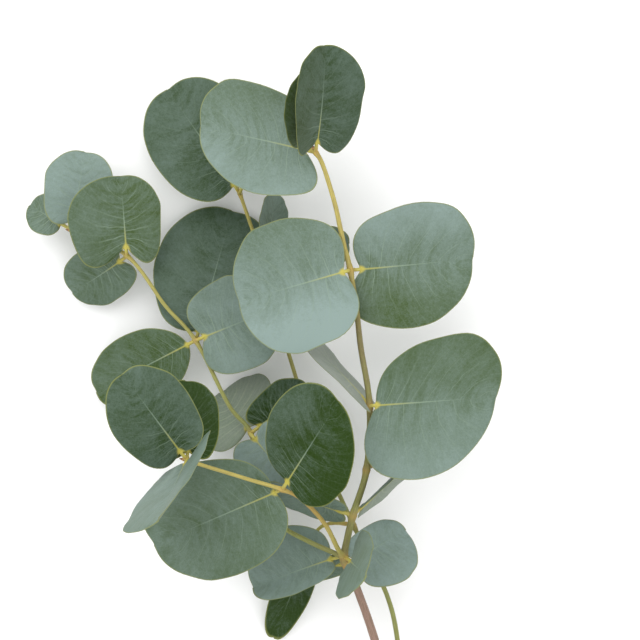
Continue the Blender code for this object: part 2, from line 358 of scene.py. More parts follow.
def make_bark(name, stops, shade, spot, roughness):
    """Bark whose colour runs through stops, (share of the stem's length, colour)."""
    material, tree, shader = new_material(name)
    grown, near, _ = split(tree, mark_of(tree, "stem_growth"))
    grain = add_node(tree, "Group", node_tree=bark_grain)
    tree.links.new(mark_of(tree, "stem_place"), grain.inputs["Place"])
    uneven = calculate(tree, "MULTIPLY_ADD", grain.outputs["Patches"], 0.12, grown)
    ramp = add_node(tree, "ValToRGB", {"Fac": calculate(tree, "SUBTRACT", uneven, 0.06)})
    elements = ramp.color_ramp.elements
    elements[0].position, elements[0].color = stops[0][0], paint(stops[0][1])
    elements[1].position, elements[1].color = stops[-1][0], paint(stops[-1][1])
    for share, colour in stops[1:-1]:
        elements.new(share).color = paint(colour)
    dark = ramp_down(tree, grain.outputs["Streaks"], 0.34, 0.62)
    dark = calculate(tree, "MULTIPLY", dark, STREAK_SHADE)
    colour = mix_colours(tree, dark, ramp.outputs[0], paint(shade))
    flush = calculate(tree, "MULTIPLY", near, NODE_FLUSH)
    colour = mix_colours(tree, flush, colour, paint(BARK_AMBER))
    spots = calculate(tree, "MULTIPLY", grain.outputs["Spots"], SPOT_SHADE)
    colour = mix_colours(tree, spots, colour, paint(spot))
    tree.links.new(colour, shader.inputs["Base Color"])
    rough = calculate(tree, "MULTIPLY_ADD", grain.outputs["Streaks"], 0.25, roughness - 0.12)
    tree.links.new(rough, shader.inputs["Roughness"])
    normal = bump_from(tree, grain.outputs["Height"], strength=0.5, depth=0.15)
    tree.links.new(normal, shader.inputs["Normal"])
    shader.inputs["Specular IOR Level"].default_value = BARK_GLOSS
    return material


def make_cut_wood():
    """The sawn end: a thin green inner bark, pale wood in fine rings and a soft pith."""
    material, tree, shader = new_material("cut_wood")
    _, _, depth = split(tree, mark_of(tree, "stem_growth"))
    place = mark_of(tree, "stem_place")
    warp = calculate(tree, "MULTIPLY_ADD", noise_of(tree, place, 1.4), 0.12, depth)
    rings = calculate(tree, "SINE", calculate(tree, "MULTIPLY", warp, math.tau * RINGS_IN_WOOD))
    rings = ramp_down(tree, rings, 1.0, -0.4)
    faint = calculate(tree, "MULTIPLY", rings, 0.4)
    colour = mix_colours(tree, faint, paint(WOOD_PALE), paint(WOOD_RING))
    colour = mix_colours(tree, ramp_down(tree, warp, 0.12, 0.24), colour, paint(PITH))
    colour = mix_colours(tree, ramp_down(tree, warp, 0.97, 0.88), colour, paint(BARK_GREEN))
    tree.links.new(colour, shader.inputs["Base Color"])
    shader.inputs["Roughness"].default_value = 0.8
    tree.links.new(bump_from(tree, rings, strength=0.4, depth=0.1), shader.inputs["Normal"])
    return material


bark = make_bark(
    "woody_bark",
    [
        (0.0, BARK_GREY),
        (0.12, BARK_PINK),
        (0.27, BARK_PINK),
        (0.36, BARK_OLIVE),
        (0.5, BARK_GREEN),
        (0.66, BARK_OLIVE),
        (0.82, BARK_YELLOW),
        (1.0, BARK_YELLOW),
    ],
    shade=(0.12, 0.085, 0.045), spot=(0.36, 0.27, 0.18), roughness=0.62,
)
cut_wood = make_cut_wood()

# The middle of the stem's box is where the CAD has it, which places the whole branch.
rings_of_stem = stem_rings(MAIN_ROUTE, MAIN_RADII, MAIN_NODES)[0]
stem_points = [point for ring in rings_of_stem for point in ring]
lowest = Vector([min(point[axis] for point in stem_points) for axis in range(3)])
highest = Vector([max(point[axis] for point in stem_points) for axis in range(3)])
branch_place = sum(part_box("main_stem"), Vector()) / 2 / MM - (lowest + highest) / 2

grow_stem("main_twig", "main_stem", MAIN_ROUTE, MAIN_RADII, MAIN_NODES,
          [bark, cut_wood])


# ---- Side stems -----------------------------------------------------------------------------
# Three younger green stems. The back stem leaves the woody foot, and the front and left
# shoots leave the fork. Each grows out of the main stem's side, with a flared collar.

BACK_RADII = (1.15, 0.6)
SIDE_RADII = (0.95, 0.6)

FRONT_NODE_1 = (-12.5, 122, 48)
FRONT_NODE_2 = (-43.5, 132, 55)
LEFT_NODE_1 = (-23.5, 139.5, 24)
LEFT_NODE_2 = (-42.5, 171, 19)
LEFT_NODE_3 = (-66, 200, 18)
LEFT_NODE_4 = (-84.5, 208.5, 18)
BACK_NODE_1 = (11.5, 107.5, 14)
BACK_NODE_2 = (-20, 199, 14)
BACK_NODE_3 = (-27.5, 221.5, 14)

FRONT_ROUTE = [
    (7.6, 98.9, 33.6),
    (5.9, 101.5, 35.6),
    (1.5, 110, 38),
    (-6, 118.5, 44.5),
    FRONT_NODE_1,
    (-25, 126, 51),
    FRONT_NODE_2,
]
LEFT_ROUTE = [
    (8, 98, 32.8),
    (5.8, 99.2, 32.6),
    (-5, 104, 31),
    (-13, 109, 28.5),
    (-19, 121, 24.5),
    LEFT_NODE_1,
    (-31, 149, 22.5),
    LEFT_NODE_2,
    (-53, 183, 18),
    LEFT_NODE_3,
    LEFT_NODE_4,
]
BACK_ROUTE = [
    (27.8, 27, 8.2),
    (29.4, 34, 8.1),
    (29.5, 45, 10),
    (27.5, 62, 11.5),
    (23.5, 82, 13),
    BACK_NODE_1,
    (0, 133.5, 14),
    (-10.5, 165.5, 14),
    BACK_NODE_2,
    BACK_NODE_3,
]

shoot_bark = make_bark(
    "shoot_bark",
    [(0, BARK_GREEN), (0.25, BARK_YELLOW), (0.5, BARK_AMBER), (0.7, BARK_YELLOW), (1, BARK_YELLOW)],
    shade=(0.22, 0.17, 0.05), spot=(0.5, 0.45, 0.22), roughness=0.5,
)
green_bark = make_bark(
    "green_bark",
    [(0, BARK_OLIVE), (0.2, BARK_GREEN), (0.55, BARK_GREEN), (1, BARK_YELLOW)],
    shade=(0.15, 0.14, 0.04), spot=(0.42, 0.42, 0.2), roughness=0.52,
)

grow_stem("front_twig", "front_shoot", FRONT_ROUTE, SIDE_RADII,
          (FRONT_ROUTE[0], FRONT_NODE_1, FRONT_NODE_2), [shoot_bark, cut_wood])
grow_stem("left_twig", "left_shoot", LEFT_ROUTE, SIDE_RADII,
          (LEFT_ROUTE[0], LEFT_NODE_1, LEFT_NODE_2, LEFT_NODE_3, LEFT_NODE_4),
          [green_bark, cut_wood])
grow_stem("back_twig", "back_stem", BACK_ROUTE, BACK_RADII,
          (BACK_ROUTE[0], BACK_NODE_1, BACK_NODE_2, BACK_NODE_3), [green_bark, cut_wood])


# ---- Leaves of the main stem ----------------------------------------------------------------
# Round leathery leaves in opposite pairs, each on a short yellow petiole. A waxy bloom greys
# them, thinner where it has rubbed off. Midrib and veins are pale, and the margin is a fine
# olive rim.

LEAF_THICKNESS = 0.42
CREASE_WIDTH = 2.0
LOBE_DEPTH = 0.2
COLUMNS = (0, 0.02, 0.045, 0.09, 0.16, 0.26, 0.37, 0.49, 0.61, 0.72, 0.82, 0.9, 0.955, 0.985, 1)
LEAF_ROWS = 44
FIRST_ROW = 0.022
LAST_ROW = 0.992
PETIOLE_RINGS = 9
PETIOLE_RADIUS = 0.6
PETIOLE_FLARE = 0.3
RIB_ABOVE = 0.10
RIB_BELOW = 0.5
RIB_WIDTH = 0.5
VEIN_PAIRS = 8
VEIN_SWEEP = 0.17
QUILT = 0.10
WAVES = 3
RIPPLE = 0.22
RIPPLES = 9
OUTLINE_WOBBLE = 0.044
TIP_NOTCH = 0.025
NOTCH_WIDTH = 0.13
MIDDLE_PACE = 1.3
ROW_SWEEP = 1.5
EDGE_ROUNDING = 14
RIB_TAPER = 0.8
LEAST_BEND = 1e-6
ROWS_AT_ENDS = 0.6
UPPER, UNDER, PETIOLE = range(3)

LEAF_GREEN = (0.022, 0.056, 0.014)
OLD_LEAF_GREEN = (0.010, 0.032, 0.002)
LEAF_BLOOM = (0.195, 0.263, 0.243)
UNDER_GREEN = (0.105, 0.158, 0.092)
UNDER_BLOOM = (0.265, 0.285, 0.262)
UNDER_VEIN = (0.32, 0.37, 0.25)
VEIN_PALE = (0.215, 0.290, 0.215)
RIB_YELLOW = (0.38, 0.36, 0.075)
RIM_OLIVE = (0.185, 0.205, 0.060)
PETIOLE_YELLOW = (0.42, 0.37, 0.07)
PETIOLE_RED = (0.33, 0.12, 0.04)

WARMING = (2.1, 1.35, 0.6)
NET_PER_METRE = 900.0
CLOUDS_PER_METRE = 55.0
GRAIN_PER_METRE = 900.0
SPECKLE_PER_METRE = 2600.0
STREAKS_ACROSS = 1.3
STREAKS_ALONG = 17.0
STREAK_WEAR = 0.32
CLOUD_DEPTH = 1.5
GRAIN_DEPTH = 0.9
SPECKLE_DEPTH = 0.7
NET_SHARE = 0.3
MIDRIB_SHARE = 0.7
RIM_SHARE = 0.75
VEINS_BELOW = 0.4
NET_BELOW = 0.12
RIM_BELOW = 0.6
BLOOM_BELOW = 0.35
GLOSS_BELOW = 0.25
LEAF_RELIEF = 0.12


def heading_vector(heading, pitch):
    """Unit vector at an angle from +X towards +Y, raised by pitch. Degrees."""
    turn = math.radians(heading)
    rise = math.radians(pitch)
    level = math.cos(rise)
    return Vector((level * math.cos(turn), level * math.sin(turn), math.sin(rise)))


def blade_point(form, across, along, face):
    """A point of the bent blade, and half the width there, swept back with the margin.

    across runs from -1 at the left margin to 1 at the right one, and along from 0 at the
    base to 1 at the tip. face is 1 above, -1 below and 0 at the margin.
    """
    swing = math.pi * along
    breadth = math.sin(swing)
    share = abs(across)
    length = form["length"]
    round_edge = Vector((form["heading"] + 2.4 * math.cos(swing), 1.7 * across * breadth, 3))
    row = form["width"] / 2 * (1 + form["uneven"] * across) * breadth
    row *= 1 + OUTLINE_WOBBLE * noise.noise(round_edge)
    edge_y = length / 2 * (1 - math.cos(swing))
    if along < 0.5:
        edge_y -= form["lobe"] * length * math.sin(2 * swing)
    middle_y = length * along**MIDDLE_PACE
    x = row * across
    y = middle_y + (edge_y - middle_y) * share**ROW_SWEEP - form["skew"] * x
    notch = math.exp(-((x / (NOTCH_WIDTH * form["width"])) ** 2))
    y -= TIP_NOTCH * length * along**4 * notch
    fold = math.radians(form["fold"])
    z = math.sin(fold) * (math.hypot(x, CREASE_WIDTH) - CREASE_WIDTH)
    z += form["wave"] * share**2 * math.sin(math.pi * (WAVES * along + form["phase"] + across / 2))
    z += RIPPLE * share**4 * math.sin(math.pi * (RIPPLES * along + across)) * breadth
    z += QUILT * math.cos(math.tau * VEIN_PAIRS * (along - VEIN_SWEEP * share)) * share * breadth
    rib = math.exp(-((x / RIB_WIDTH) ** 2)) * (1 - along) ** RIB_TAPER
    half = LEAF_THICKNESS / 2 * math.sqrt(max(0, 1 - share**EDGE_ROUNDING))
    above, below = (RIB_BELOW, RIB_ABOVE) if form["turned"] else (RIB_ABOVE, RIB_BELOW)
    if face > 0:
        z += half + above * rib
    if face < 0:
        z -= half + below * rib
    x *= math.cos(fold)
    bend = math.radians(form["arch"]) / length
    if abs(bend) > LEAST_BEND:
        turn = bend * y
        radius = 1 / bend + z
        y = radius * math.sin(turn)
        z = radius * math.cos(turn) - 1 / bend
    return Vector((x, y, z)), row


def blade_section():
    """(across, face) of each point round a blade: over the top and back below."""
    top = [-share for share in reversed(COLUMNS[1:])] + list(COLUMNS)
    section = [(across, 1) for across in top] + [(across, -1) for across in reversed(top[1:-1])]
    section[0] = (-1, 0)
    section[len(top) - 1] = (1, 0)
    return section


def blade_rings(form):
    """Rings of the blade's section from near its base to near its tip, and their marks."""
    rings = []
    places = []
    edges = []
    for step in range(LEAF_ROWS):
        even = step / (LEAF_ROWS - 1)
        eased = (1 - math.cos(math.pi * even)) / 2
        spaced = even + ROWS_AT_ENDS * (eased - even)
        along = FIRST_ROW + (LAST_ROW - FIRST_ROW) * spaced
        ring = []
        for across, face in blade_section():
            point, row = blade_point(form, across, along, face)
            ring.append(point)
            places.append((across, along, row * across))
            edges.append((row * (1 - abs(across)), form["length"], form["heading"]))
        rings.append(ring)
    return rings, places, edges


def petiole_rings(root, reach, sides):
    """Rings from inside the stem to the blade's base at the origin, on one bent line."""
    knee = Vector((0, -reach / 2, 0))
    rings = []
    for index in range(PETIOLE_RINGS):
        t = index / PETIOLE_RINGS
        centre = root * (1 - t) ** 2 + 2 * knee * t * (1 - t)
        forward = ((knee - root) * (1 - t) - knee * t).normalized()
        radius = PETIOLE_RADIUS + PETIOLE_FLARE * (1 - t) ** 4
        rings.append(circle_ring(centre, forward, radius, sides))
    return rings


def grow_leaf(name, kind, node, heading, tilt, roll, length, width, petiole=4, rise=25, swerve=0,
              fold=8, arch=10, wave=0.4, phase=0, uneven=0, skew=0, lobe=LOBE_DEPTH, bloom=0.5,
              warmth=0.5, painted_light_lean=0, turned=False):
    """A leaf on its petiole, which stands for the CAD node leaf_NAME.

    heading is where the blade points, tilt raises its tip and roll lowers its right side.
    The petiole is raised by rise and turned off the blade's heading by swerve. fold lifts
    both halves, arch bends the tip down, wave ruffles the margin and skew sets the right
    side back. bloom is how thick the wax is, and warmth how yellow the green below it.
    The bloom's slope towards the right side (the left where negative) is painted light
    and shade: it makes one half of the blade lighter and the other darker. A turned leaf
    shows its underside to the sky.
    """
    form = {"length": length, "width": width, "fold": fold, "arch": arch, "wave": wave,
            "phase": phase, "uneven": uneven, "skew": skew, "lobe": lobe, "heading": heading,
            "turned": turned}
    turn = Matrix.Rotation(math.radians(heading - 90), 3, "Z")
    turn = turn @ Matrix.Rotation(math.radians(tilt), 3, "X")
    turn = turn @ Matrix.Rotation(math.radians(roll), 3, "Y")
    base = Vector(node) + petiole * heading_vector(heading + swerve, rise)
    blade, blade_places, blade_edges = blade_rings(form)
    sides = len(blade[0])
    rings = petiole_rings(turn.transposed() @ (Vector(node) - base), petiole, sides) + blade

    tip_point = blade_point(form, 0, 1, 0)[0]
    root_point = sum(rings[0], Vector()) / sides
    points = [point for ring in rings for point in ring] + [tip_point, root_point]
    places = []
    for ring in range(PETIOLE_RINGS):
        places += [(0, ring / PETIOLE_RINGS - 1, 0)] * sides
    places += [*blade_places, (0, 1, 0), (0, -1, 0)]
    on_rib = (0, length, heading)
    edges = [on_rib] * (PETIOLE_RINGS * sides) + blade_edges + [on_rib] * 2

    tip = len(points) - 2
    root = len(points) - 1
    start = tip - sides
    faces = join_rings(rings)
    faces += [(start + side, start + (side + 1) % sides, tip) for side in range(sides)]
    faces += [((side + 1) % sides, side, root) for side in range(sides)]
    top = 2 * len(COLUMNS) - 2
    sky, ground = (UNDER, UPPER) if turned else (UPPER, UNDER)
    around = [sky] * top + [ground] * (sides - top)
    kinds = [PETIOLE] * ((PETIOLE_RINGS - 1) * sides) + around * (LEAF_ROWS + 1) + [PETIOLE] * sides
    points = [turn @ point + base for point in points]
    # The third number of the bloom mark is painted light and shade: the bloom's slope across the
    # blade.
    marks = {"leaf_place": places, "leaf_edge": edges,
             "leaf_bloom_warmth_shading": [(bloom, warmth, painted_light_lean)] * len(points)}
    materials = [leaf_faces[kind], leaf_under, petiole_skin]
    piece = make_piece(name + "_leaf", points, faces, materials, kinds, marks)
    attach(piece, "root")
    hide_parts("leaf_" + name)
    return piece


def make_leaf_veins():
    """Midrib, side veins, the fine net between them and the rim, as masks."""
    inputs = {"Place": ("Vector", None), "Edge": ("Vector", None), "Ground": ("Vector", None)}
    outputs = {"Midrib": "Float", "Veins": "Float", "Net": "Float", "Rim": "Float",
               "Foot": "Float", "Near Foot": "Float", "Height": "Float"}
    tree, given, result = new_effect("leaf_veins", inputs, outputs)
    across, along, off = split(tree, given["Place"])
    margin, length, seed = split(tree, given["Edge"])
    width = calculate(tree, "MULTIPLY_ADD", along, -0.32, 0.46)
    distance = calculate(tree, "ABSOLUTE", off)
    distance = calculate(tree, "DIVIDE", distance, width)
    midrib = calculate(tree, "MULTIPLY", ramp_down(tree, distance, 0.3, 1.0),
                       ramp_down(tree, along, 0.3, 0.9))
    share = calculate(tree, "ABSOLUTE", across)
    side = calculate(tree, "MULTIPLY", calculate(tree, "SIGN", across), 0.21)
    drift = add_node(tree, "CombineXYZ", {"X": across, "Y": along, "Z": seed}).outputs[0]
    wander = calculate(tree, "MULTIPLY_ADD", noise_of(tree, drift, 2.2, 2), 0.55, side)
    vein_masks = []
    for pairs, reach in ((VEIN_PAIRS, 0.24), (VEIN_PAIRS * 2.6, 0.17)):
        climb = calculate(tree, "MULTIPLY_ADD", share, -VEIN_SWEEP, along)
        phase = calculate(tree, "MULTIPLY_ADD", climb, float(pairs), wander)
        gap = calculate(tree, "PINGPONG", phase, 0.5)
        gap = calculate(tree, "MULTIPLY", calculate(tree, "DIVIDE", gap, float(pairs)), length)
        vein_masks.append(ramp_down(tree, gap, reach * 0.3, reach))
    major = calculate(tree, "MULTIPLY", vein_masks[0], ramp_down(tree, share, 0.35, 0.95))
    minor = calculate(tree, "MULTIPLY", vein_masks[1], 0.4)
    veins = calculate(tree, "MAXIMUM", major, minor)
    cells = {"Vector": given["Ground"], "Scale": NET_PER_METRE}
    cells = add_node(tree, "TexVoronoi", cells, feature="DISTANCE_TO_EDGE").outputs["Distance"]
    net = ramp_down(tree, cells, 0.02, 0.14)
    rim = ramp_down(tree, margin, 0.1, 0.42)
    ahead = calculate(tree, "MULTIPLY", calculate(tree, "POWER", along, 1.3), length)
    reach = add_node(tree, "CombineXYZ", {"X": off, "Y": ahead}).outputs[0]
    reach = add_node(tree, "VectorMath", {0: reach}, operation="LENGTH").outputs["Value"]
    foot = ramp_down(tree, reach, 0.6, 1.9)
    near_foot = ramp_down(tree, reach, 3.0, 15.0)
    height = calculate(tree, "MULTIPLY_ADD", veins, -0.7, calculate(tree, "MULTIPLY", net, -0.15))
    height = calculate(tree, "MULTIPLY_ADD", midrib, 0.8, height)
    height = calculate(tree, "MULTIPLY_ADD", rim, 0.6, height)
    for name, socket in (("Midrib", midrib), ("Veins", veins), ("Net", net), ("Rim", rim),
                         ("Foot", foot), ("Near Foot", near_foot), ("Height", height)):
        tree.links.new(socket, result.inputs[name])
    return tree


def make_waxy_bloom():
    """How thick the wax lies: broad clouds, rubbed streaks along the veins and a fine grain. Its
    Thickness input also brings in painted light and shade, a slope of the bloom across the blade.
    """
    inputs = {"Place": ("Vector", None), "Edge": ("Vector", None), "Ground": ("Vector", None),
              "Thickness": ("Float", 0.5), "Unevenness": ("Float", 0.5)}
    outputs = {"Bloom": "Float", "Grain": "Float"}
    tree, given, result = new_effect("waxy_bloom", inputs, outputs)
    across, along, off = split(tree, given["Place"])
    _, _, seed = split(tree, given["Edge"])
    clouds = noise_of(tree, given["Ground"], CLOUDS_PER_METRE, 5, 0.62)
    grain = noise_of(tree, given["Ground"], GRAIN_PER_METRE, 3, 0.7)
    speckle = noise_of(tree, given["Ground"], SPECKLE_PER_METRE, 2, 0.6)
    flow_x = calculate(tree, "MULTIPLY", across, STREAKS_ACROSS)
    flow_y = calculate(tree, "MULTIPLY", along, STREAKS_ALONG)
    flow = add_node(tree, "CombineXYZ", {"X": flow_x, "Y": flow_y, "Z": seed}).outputs[0]
    streaks = noise_of(tree, flow, 1.0, 4, 0.6)
    near_rib = ramp_down(tree, calculate(tree, "ABSOLUTE", off), 2.0, 12.0)
    wear = calculate(tree, "MULTIPLY", ramp_down(tree, streaks, 0.36, 0.56),
                     calculate(tree, "MULTIPLY_ADD", near_rib, 0.6, 0.4))
    amount = calculate(tree, "MULTIPLY", wear, -STREAK_WEAR)
    for mottle, strength in ((clouds, CLOUD_DEPTH), (grain, GRAIN_DEPTH), (speckle, SPECKLE_DEPTH)):
        centred = calculate(tree, "SUBTRACT", mottle, 0.5)
        amount = calculate(tree, "MULTIPLY_ADD", centred, strength, amount)
    amount = calculate(tree, "MULTIPLY_ADD", amount, given["Unevenness"], given["Thickness"])
    bloom = calculate(tree, "MINIMUM", calculate(tree, "MAXIMUM", amount, 0.0), 1.0)
    tree.links.new(bloom, result.inputs["Bloom"])
    tree.links.new(grain, result.inputs["Grain"])
    return tree


leaf_veins = make_leaf_veins()
waxy_bloom = make_waxy_bloom()


def place_effects(tree, unevenness):
    """The vein and bloom effects of a leaf, fed with the marks of its mesh, with painted light and
    shade added to the bloom.
    """
    place = mark_of(tree, "leaf_place")
    edge = mark_of(tree, "leaf_edge")
    bloom_and_painted_light, warmth, painted_light_lean = split(tree, mark_of(tree, "leaf_bloom_warmth_shading"))
    _, _, off = split(tree, place)
    _, length, _ = split(tree, edge)
    # Painted light and shade: the bloom is made thicker towards one margin and thinner towards the
    # other, so one half of the blade is painted lighter and the other darker.
    aside = calculate(tree, "DIVIDE", calculate(tree, "MULTIPLY", off, 2.0), length)
    bloom_and_painted_light = calculate(tree, "MULTIPLY_ADD", painted_light_lean, aside, bloom_and_painted_light)
    ground = add_node(tree, "TexCoord").outputs["Object"]
    shared = {"Place": place, "Edge": edge, "Ground": ground}
    veins = add_node(tree, "Group", node_tree=leaf_veins)
    bloom = add_node(tree, "Group", node_tree=waxy_bloom)
    for key, socket in shared.items():
        tree.links.new(socket, veins.inputs[key])
        tree.links.new(socket, bloom.inputs[key])
    tree.links.new(bloom_and_painted_light, bloom.inputs["Thickness"])
    bloom.inputs["Unevenness"].default_value = unevenness
    return veins.outputs, bloom.outputs, place, warmth


def make_leaf_face(name, green, unevenness, vein_strength, roughness, gloss):
    """The upper face: green under a bloom, pale veins, a yellow foot and an olive rim."""
    material, tree, shader = new_material(name)
    veins, bloom, place, warmth = place_effects(tree, unevenness)
    _, along, _ = split(tree, place)
    warm = [part * change for part, change in zip(green, WARMING)]
    colour = mix_colours(tree, warmth, paint(green), paint(warm))
    # The bloom mask is mostly real wax, plus painted light and shade where it slopes across the
    # blade.
    colour = mix_colours(tree, bloom["Bloom"], colour, paint(LEAF_BLOOM))
    near_foot = calculate(tree, "MULTIPLY_ADD", veins["Near Foot"], 0.3, vein_strength)
    veined = calculate(tree, "MULTIPLY", veins["Veins"], near_foot)
    colour = mix_colours(tree, veined, colour, paint(VEIN_PALE))
    netted = calculate(tree, "MULTIPLY", veins["Net"], vein_strength * NET_SHARE)
    colour = mix_colours(tree, netted, colour, paint(VEIN_PALE))
    rib = mix_colours(tree, ramp_down(tree, along, 0.08, 0.5), paint(VEIN_PALE), paint(RIB_YELLOW))
    ribbed = calculate(tree, "MULTIPLY", veins["Midrib"], MIDRIB_SHARE)
    colour = mix_colours(tree, ribbed, colour, rib)
    rimmed = calculate(tree, "MULTIPLY", veins["Rim"], RIM_SHARE)
    colour = mix_colours(tree, rimmed, colour, paint(RIM_OLIVE))
    colour = mix_colours(tree, veins["Foot"], colour, paint(PETIOLE_YELLOW))
    tree.links.new(colour, shader.inputs["Base Color"])
    rough = calculate(tree, "MULTIPLY_ADD", bloom["Bloom"], 0.16, roughness)
    rough = calculate(tree, "MULTIPLY_ADD", bloom["Grain"], 0.12, rough)
    tree.links.new(rough, shader.inputs["Roughness"])
    height = calculate(tree, "MULTIPLY_ADD", bloom["Grain"], 0.35, veins["Height"])
    normal = bump_from(tree, height, strength=0.45, depth=LEAF_RELIEF)
    tree.links.new(normal, shader.inputs["Normal"])
    shader.inputs["Specular IOR Level"].default_value = gloss
    return material


def make_leaf_under():
    """The lower face: a matt grey-lilac bloom with a raised pale midrib."""
    material, tree, shader = new_material("leaf_underside")
    veins, bloom, place, _ = place_effects(tree, BLOOM_BELOW)
    _, along, _ = split(tree, place)
    # The bloom mask is mostly real wax, plus painted light and shade where it slopes across the
    # blade.
    colour = mix_colours(tree, bloom["Bloom"], paint(UNDER_GREEN), paint(UNDER_BLOOM))
    veined = calculate(tree, "MULTIPLY", veins["Veins"], VEINS_BELOW)
    colour = mix_colours(tree, veined, colour, paint(UNDER_VEIN))
    netted = calculate(tree, "MULTIPLY", veins["Net"], NET_BELOW)
    colour = mix_colours(tree, netted, colour, paint(UNDER_VEIN))
    rib = mix_colours(tree, ramp_down(tree, along, 0.1, 0.6), paint(UNDER_VEIN), paint(RIB_YELLOW))
    colour = mix_colours(tree, veins["Midrib"], colour, rib)
    colour = mix_colours(tree, veins["Foot"], colour, paint(PETIOLE_YELLOW))
    rimmed = calculate(tree, "MULTIPLY", veins["Rim"], RIM_BELOW)
    colour = mix_colours(tree, rimmed, colour, paint(RIM_OLIVE))
    tree.links.new(colour, shader.inputs["Base Color"])
    rough = calculate(tree, "MULTIPLY_ADD", bloom["Grain"], 0.15, 0.62)
    tree.links.new(rough, shader.inputs["Roughness"])
    height = calculate(tree, "MULTIPLY", veins["Height"], -1.0)
    normal = bump_from(tree, height, strength=0.5, depth=LEAF_RELIEF)
    tree.links.new(normal, shader.inputs["Normal"])
    shader.inputs["Specular IOR Level"].default_value = GLOSS_BELOW
    return material


def make_petiole_skin():
    """Waxy yellow, flushed red where the petiole leaves the stem."""
    material, tree, shader = new_material("petiole_skin")
    _, along, _ = split(tree, mark_of(tree, "leaf_place"))
    ground = add_node(tree, "TexCoord").outputs["Object"]
    flush = noise_of(tree, ground, 700.0, 3, 0.6)
    flush = calculate(tree, "MULTIPLY", ramp_down(tree, flush, 0.62, 0.4),
                      ramp_down(tree, along, -0.75, -0.2))
    colour = mix_colours(tree, calculate(tree, "MULTIPLY", flush, 0.55), paint(PETIOLE_YELLOW),
                         paint(PETIOLE_RED))
    mottle = noise_of(tree, ground, 1800.0, 2, 0.5)
    colour = mix_colours(tree, calculate(tree, "MULTIPLY", mottle, 0.3), colour, paint(BARK_GREEN))
    tree.links.new(colour, shader.inputs["Base Color"])
    rough = calculate(tree, "MULTIPLY_ADD", mottle, 0.2, 0.4)
    tree.links.new(rough, shader.inputs["Roughness"])
    tree.links.new(bump_from(tree, mottle, strength=0.3, depth=0.08), shader.inputs["Normal"])
    return material


leaf_faces = {
    "pale": make_leaf_face("pale_leaf_face", LEAF_GREEN, unevenness=0.5, vein_strength=0.2,
                           roughness=0.46, gloss=0.30),
    "mid": make_leaf_face("mid_leaf_face", LEAF_GREEN, unevenness=0.42, vein_strength=0.18,
                          roughness=0.44, gloss=0.26),
    "dark": make_leaf_face("dark_leaf_face", OLD_LEAF_GREEN, unevenness=0.36, vein_strength=0.09,
                           roughness=0.42, gloss=0.13),
}
leaf_under = make_leaf_under()
petiole_skin = make_petiole_skin()

# A bloom that slopes across a blade in the calls below is painted light and shade: it makes one
# half lighter and the other darker.
grow_leaf("main_1_left", "mid", MAIN_NODE_1, heading=162, tilt=-5, roll=-50, length=28, width=14,
          petiole=5, rise=0, arch=0, bloom=0.6)
grow_leaf("main_1_right", "mid", MAIN_NODE_1, heading=43, tilt=-15, roll=80, length=34, width=30,
          petiole=6, rise=-20, arch=0, bloom=0.5, turned=True)
grow_leaf("main_2_left", "mid", MAIN_NODE_2, heading=133, tilt=-15, roll=78, length=36, width=26,
          petiole=3.5, rise=-10, fold=0, arch=0, lobe=0.3, bloom=0.8, turned=True)
grow_leaf("main_2_right", "mid", MAIN_NODE_2, heading=4, tilt=0, roll=0, length=41.5, width=48,
          petiole=3, rise=45, uneven=0.08, skew=0.34, lobe=0.09, bloom=0.39, painted_light_lean=0.25)
grow_leaf("main_3_left", "pale", MAIN_NODE_3, heading=196, tilt=0, roll=0, length=37, width=45,
          petiole=3.5, rise=45, lobe=0.15, bloom=0.76, painted_light_lean=-0.33)
grow_leaf("main_3_right", "pale", MAIN_NODE_3, heading=5, tilt=0, roll=7, length=38.5, width=42,
          petiole=4.5, rise=-35, skew=0.16, lobe=0.18, bloom=0.46, painted_light_lean=-0.38)
grow_leaf("main_4_left", "pale", MAIN_NODE_4, heading=166, tilt=-8, roll=8, length=38, width=37,
          petiole=5, rise=-45, skew=-0.3, bloom=0.56, painted_light_lean=-0.22)
grow_leaf("main_4_right", "dark", MAIN_NODE_4, heading=81, tilt=30, roll=50, length=35, width=34,
          petiole=4, rise=40, fold=15, skew=0.2, lobe=0.2, bloom=0.2, painted_light_lean=0.08)
grow_leaf("main_4_back", "mid", MAIN_NODE_4, heading=84, tilt=30, roll=45, length=27, width=26,
          petiole=4, rise=-5, swerve=35, fold=5, lobe=0.1, bloom=0.15, warmth=0.9)


# ---- Leaves at the fork ---------------------------------------------------------------------
# Four leaves crowd the fork. Two stand on the fork itself and two just below it, each on a
# petiole that lifts or drops it clear of the shoots.

grow_leaf("fork_front", "mid", FORK, heading=335, tilt=82, roll=0, length=24, width=24, petiole=6,
          rise=65, bloom=0.58, warmth=1)
grow_leaf("fork_left", "mid", FORK, heading=199, tilt=-8, roll=25, length=30, width=26, petiole=7,
          rise=-50, fold=25, uneven=0.25, lobe=0.1, bloom=0.7)
grow_leaf("fork_right", "pale", FORK_FOOT, heading=30, tilt=-15, roll=-15, length=21, width=23,
          petiole=4, rise=-20, uneven=0.3, bloom=0.88)
grow_leaf("fork_back", "mid", FORK_FOOT, heading=193, tilt=-18, roll=-10, length=31, width=9,
          petiole=8, rise=-70, fold=0)


# ---- Leaves of the front shoot --------------------------------------------------------------
# The front shoot carries a pair of broad leaves halfway and three at its tip, the lowest of
# them standing almost on edge.

grow_leaf("front_1_low", "mid", FRONT_NODE_1, heading=204, tilt=-10, roll=0, length=47.5,
          width=41, petiole=3, rise=-30, skew=-0.12, lobe=0.06, bloom=0.36)
